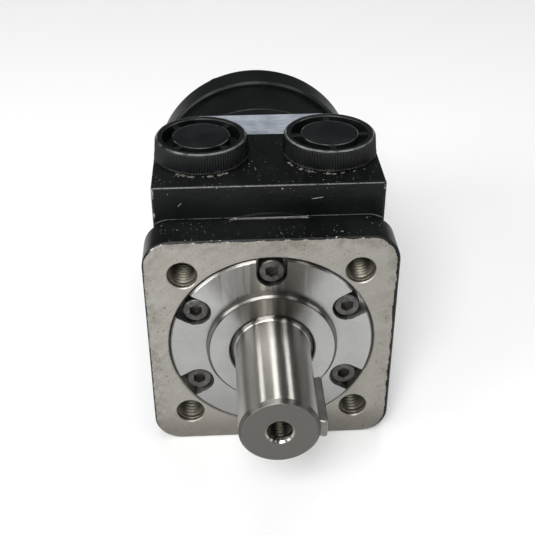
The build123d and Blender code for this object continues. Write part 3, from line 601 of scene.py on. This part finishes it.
materials = {
    "black_paint": casting_material(),
    "stack_paint": stack_material(),
    "turned_steel": turned_steel_material(),
    "ground_steel": ground_steel_material(),
    "key_steel": key_steel_material(),
    "black_oxide": black_oxide_material(),
    "rotor_steel": plain_material("rotor_steel", (0.42, 0.42, 0.42), (0.55, 0.55, 0.55), 0.2, 0.32, 52.0),
    "bearing_steel": plain_material("bearing_steel", (0.6, 0.6, 0.6), (0.7, 0.7, 0.7), 0.12, 0.25, 53.0),
    "seal_rubber": rubber_material(),
    "backup_plastic": plain_material("backup_plastic", (0.6, 0.56, 0.45), (0.7, 0.67, 0.55),
                                     0.4, 0.6, 54.0, metallic=0.0),
    "washer_aluminium": plain_material("washer_aluminium", (0.5, 0.5, 0.5), (0.62, 0.62, 0.62),
                                       0.3, 0.45, 55.0),
    "cap_plastic": plastic_cap_material(),
    "plate_film": label_material(),
    "dried_paint": dried_paint_material(),
}

node_slot = {entry["node"]: entry["material_slot"] for entry in frame["record"]["subparts"]}
for name, cad in frame["nodes"].items():
    for slot in cad.material_slots:
        slot.material = materials[node_slot[name]]


# ---- added pieces ----------------------------------------------------------------------

def new_piece(name, mesh, material):
    """Turns a finished bmesh into an object; materials go by the names of their slots."""
    data = bpy.data.meshes.new(name)
    mesh.to_mesh(data)
    mesh.free()
    data.materials.append(materials[material])
    piece = bpy.data.objects.new(name, data)
    bpy.context.collection.objects.link(piece)
    return piece


def thread(name, mouth, inward, radius, depth, pitch, length, body, slot):
    """Helical ridge standing inwards from a round hole's wall, fading out at both ends."""
    profile = ((-0.47, 0.0), (-0.07, 1.0), (0.07, 1.0), (0.47, 0.0))  # in pitches along, depths in
    sunk, least_height = 0.015 * MM, 0.02 * MM
    inward = Vector(inward).normalized()
    side = inward.orthogonal().normalized()
    other = inward.cross(side)
    per_turn = 40
    steps = int(length / pitch * per_turn)
    fade = 0.75 * per_turn
    mesh = bmesh.new()
    previous = None
    for step in range(steps + 1):
        angle = 2 * math.pi * step / per_turn
        along = pitch * step / per_turn
        height = depth * min(1.0, step / fade, (steps - step) / fade) + least_height
        outward = side * math.cos(angle) + other * math.sin(angle)
        ring = []
        for across, up in profile:
            reach = radius + sunk - height * up
            place = Vector(mouth) + inward * (along + across * pitch) + outward * reach
            ring.append(mesh.verts.new(place))
        if previous:
            for a in range(4):
                b = (a + 1) % 4
                mesh.faces.new((previous[a], previous[b], ring[b], ring[a]))
        else:
            mesh.faces.new(ring)
        previous = ring
    mesh.faces.new(tuple(reversed(previous)))
    bmesh.ops.recalc_face_normals(mesh, faces=mesh.faces)
    piece = new_piece(name, mesh, slot)
    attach(piece, body)


corners = (("top_left", -1, 1), ("top_right", 1, 1), ("bottom_left", -1, -1), ("bottom_right", 1, -1))
for corner, sign_x, sign_z in corners:
    thread(f"flange_thread_{corner}", (sign_x * flange_offset, 1.2 * MM, sign_z * flange_offset),
           inward=(0, 1, 0), radius=flange_hole, depth=0.85 * MM, pitch=INCH / 16,
           length=13.0 * MM, body="motor_body", slot="black_paint")
thread("shaft_end_thread", (0, shaft_end + 1.3 * MM, 0),
       inward=(0, 1, 0), radius=end_hole, depth=0.68 * MM, pitch=1.25 * MM,
       length=16.0 * MM, body="shaft", slot="ground_steel")
for side, place in zip(("left", "right"), port_places):
    thread(f"port_thread_{side}", (place.x, place.y, block_top - 2.6 * MM),
           inward=(0, 0, -1), radius=port_hole, depth=0.85 * MM, pitch=INCH / 14,
           length=12.5 * MM, body="motor_body", slot="black_paint")


def crumbs(name, centre, radius, start, stop, count, seed):
    """Irregular flat crumbs on the block's top along an arc of a cap's foot."""
    draw = random.Random(seed)
    mesh = bmesh.new()
    for _ in range(count):
        angle = math.radians(start + (stop - start) * draw.random())
        out = radius + draw.uniform(0.15, 0.9) * MM
        place = Vector((centre.x + out * math.cos(angle), centre.y + out * math.sin(angle), block_top))
        size = draw.uniform(0.15, 0.5) * MM
        made = bmesh.ops.create_icosphere(mesh, subdivisions=2, radius=size)["verts"]
        stretch = draw.uniform(0.8, 2.6)
        turn = Matrix.Rotation(angle + math.pi / 2 + draw.uniform(-0.4, 0.4), 3, "Z")
        for vert in made:
            vert.co *= 1 + draw.uniform(-0.25, 0.25)
            vert.co.x *= stretch
            vert.co.z = max(vert.co.z * 0.6, -0.1 * size)
            vert.co = turn @ vert.co + place
    for face in mesh.faces:
        face.smooth = True
    piece = new_piece(name, mesh, "dried_paint")
    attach(piece, "motor_body")


crumbs("paint_crumbs_left", port_places[0], foot_radius, start=238, stop=300, count=22, seed=4)
crumbs("paint_crumbs_right", port_places[1], foot_radius, start=205, stop=300, count=26, seed=5)


# ---- stage: floor, light, camera -------------------------------------------------------

def stage_floor():
    """Pale floor under the two places that the motor rests on: end cap and flange."""
    rear_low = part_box("end_cap")[0][2]
    flange_low = -flange_half
    slope = (rear_low - flange_low) / rear_face
    data = bpy.data.meshes.new("floor")
    reach, sides = 6.0, 96
    turns = [2 * math.pi * side / sides for side in range(sides)]
    rim = [(reach * math.cos(turn), reach * math.sin(turn)) for turn in turns]
    data.from_pydata([(x, y, flange_low + slope * y) for x, y in rim], [], [range(sides)])
    floor = bpy.data.objects.new("floor", data)
    bpy.context.collection.objects.link(floor)
    s = Shader("pale_floor", Roughness=0.6)
    s.out("Base Color", s.blend(s.noise(3, 2), (0.87, 0.87, 0.87), (0.89, 0.89, 0.89)))
    data.materials.append(s.material)


def area_light(name, place, target, size, size_y, power):
    """Rectangular light aimed at a point; its second size lies as nearly as it can along Y."""
    data = bpy.data.lights.new(name, "AREA")
    data.shape = "RECTANGLE"
    data.size, data.size_y = size, size_y
    data.energy = power
    lamp = bpy.data.objects.new(name, data)
    facing = (Vector(place) - Vector(target)).normalized()
    across = Vector((0, 1, 0)).cross(facing).normalized()
    turn = Matrix((across, facing.cross(across), facing)).transposed().to_4x4()
    lamp.matrix_world = Matrix.Translation(place) @ turn
    bpy.context.collection.objects.link(lamp)
    return lamp


stage_floor()
area_light("softbox_front", (-0.35, -1.3, 1.3), (0, 0, 0), 0.9, 0.9, 36.0)
area_light("softbox_left", (-1.15, -0.5, 0.60), (0, 0, 0), 0.6, 0.6, 10.0)
area_light("softbox_right", (1.25, -0.4, 0.55), (0, 0, 0), 0.5, 0.5, 3.0)

# Lights the floor behind the motor and leaves no highlight of its own.
floor_fill = area_light("floor_fill", (0.2, 1.1, 1.6), (0, 0.5, 0), 1.2, 1.2, 16.0)
floor_fill.visible_glossy = False

# Long lamps over the shaft, at these angles from straight up, that add highlights only.
tube_distance, tube_station, tube_length = 0.75, 0.05, 0.6
tubes = (("left", -37, 0.115, 2.5), ("middle", -3, 0.15, 3.6), ("right", 31, 0.115, 2.5))
for name, angle, width, power in tubes:
    across = tube_distance * math.sin(math.radians(angle))
    above = tube_distance * math.cos(math.radians(angle))
    tube = area_light(f"tube_{name}", (across, tube_station, above), (0, tube_station, 0),
                      width, tube_length, power)
    tube.visible_diffuse = False

world = bpy.data.worlds.new("studio")
world.use_nodes = True
background = world.node_tree.nodes["Background"]
background.inputs["Color"].default_value = (0.93, 0.95, 1.0, 1)
background.inputs["Strength"].default_value = 0.10
bpy.context.scene.world = world
bpy.context.scene.view_settings.view_transform = "Standard"

# The camera was fitted to the outlines of the flange, cover, pilot and shaft.
camera_data = bpy.data.cameras.new("camera")
camera_data.sensor_width = 36
camera_data.lens = 61.27
camera_data.clip_start = 0.01
camera = bpy.data.objects.new("camera", camera_data)
camera_place = Vector((-0.014212, -0.24606, 0.193572))
azimuth, elevation, roll = (math.radians(angle) for angle in (-2.973, 33.338, -0.136))
backward = Vector((math.sin(azimuth) * math.cos(elevation), -math.cos(azimuth) * math.cos(elevation),
                   math.sin(elevation)))
right = (-backward).cross(Vector((0, 0, 1))).normalized()
up = right.cross(-backward)
rolled_right = right * math.cos(roll) + up * math.sin(roll)
rolled_up = up * math.cos(roll) - right * math.sin(roll)
aim = Matrix((rolled_right, rolled_up, backward)).transposed().to_4x4()
camera.matrix_world = Matrix.Translation(camera_place) @ aim
bpy.context.collection.objects.link(camera)
bpy.context.scene.camera = camera
